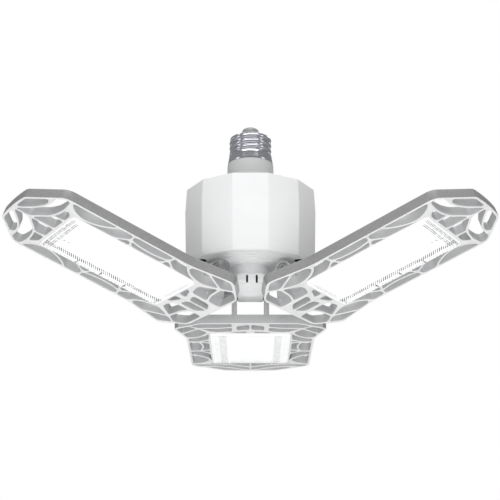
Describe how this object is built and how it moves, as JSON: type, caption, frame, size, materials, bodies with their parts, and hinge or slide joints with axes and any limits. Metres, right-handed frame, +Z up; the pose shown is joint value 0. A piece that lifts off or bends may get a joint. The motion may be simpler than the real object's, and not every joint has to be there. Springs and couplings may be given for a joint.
{
  "type": "garage ceiling light",
  "caption": "Screw-in garage ceiling light: a faceted driver housing on a lamp base, with hinged LED panels in open ribbed frames that tilt up round a central hub.",
  "frame": {"origin": "on the screw base's axis, level with the lower edge of the metal screw shell", "axes": "+Z up along the screw base's axis into the lamp socket, +Y towards the tip of the rear panel, +X to the viewer's right in the picture"},
  "size_m": [0.2814, 0.2566, 0.1245],
  "materials": {
    "contact_metal": "plated",
    "insulator": "smooth",
    "shell_metal": "polished",
    "collar_plastic": "satin",
    "white_housing": "satin",
    "dark_steel": "oxidised",
    "hub_paint": "powder coated",
    "zinc_steel": "zinc plated",
    "green_laminate": "solder mask",
    "winding_tape": "taped",
    "black_sleeve": "smooth",
    "blue_sleeve": "smooth",
    "copper_winding": "enamelled wire",
    "ceramic": "glazed",
    "white_sleeve": "smooth",
    "panel_paint": "powder coated",
    "board_white": "white solder mask",
    "phosphor": "smooth",
    "gasket_foam": "matt",
    "lens_plastic": "frosted",
    "washer_fibre": "matt"
  },
  "bodies": {
    "head": {"contact_tip": "contact_metal", "base_insulator": "insulator", "screw_shell": "shell_metal", "base_collar": "collar_plastic", "housing_cover": "white_housing", "housing_base": "white_housing", "cover_screws": "dark_steel", "hub_body": "hub_paint", "hub_screws": "zinc_steel", "hub_cap": "white_housing", "driver_board": "green_laminate", "transformer": "winding_tape", "input_capacitor": "black_sleeve", "output_capacitor": "blue_sleeve", "bridge_rectifier": "black_sleeve", "line_choke": "copper_winding", "fuse_resistor": "ceramic", "line_lead": "black_sleeve", "neutral_lead": "white_sleeve"},
    "left_panel": {"left_frame": "panel_paint", "left_board": "board_white", "left_leds": "phosphor", "left_board_screws": "zinc_steel", "left_connector": "white_sleeve", "left_gasket": "gasket_foam", "left_lens": "lens_plastic", "left_hinge_bolt": "zinc_steel", "left_hinge_nut": "zinc_steel", "left_washers": "washer_fibre"},
    "right_panel": {"right_frame": "panel_paint", "right_board": "board_white", "right_leds": "phosphor", "right_board_screws": "zinc_steel", "right_connector": "white_sleeve", "right_gasket": "gasket_foam", "right_lens": "lens_plastic", "right_hinge_bolt": "zinc_steel", "right_hinge_nut": "zinc_steel", "right_washers": "washer_fibre"},
    "rear_panel": {"rear_frame": "panel_paint", "rear_board": "board_white", "rear_leds": "phosphor", "rear_board_screws": "zinc_steel", "rear_connector": "white_sleeve", "rear_gasket": "gasket_foam", "rear_lens": "lens_plastic", "rear_hinge_bolt": "zinc_steel", "rear_hinge_nut": "zinc_steel", "rear_washers": "washer_fibre"}
  },
  "joints": [
    {"name": "left_panel_hinge", "type": "hinge", "parent": "head", "child": "left_panel", "pos_m": [-0.02468, -0.01425, -0.075], "axis": [-0.5, 0.866, 0], "range_deg": [-19, 70]},
    {"name": "right_panel_hinge", "type": "hinge", "parent": "head", "child": "right_panel", "pos_m": [0.02468, -0.01425, -0.075], "axis": [-0.5, -0.866, 0], "range_deg": [-19, 70]},
    {"name": "rear_panel_hinge", "type": "hinge", "parent": "head", "child": "rear_panel", "pos_m": [0, 0.0285, -0.075], "axis": [1, 0, 0], "range_deg": [0, 90]}
  ]
}
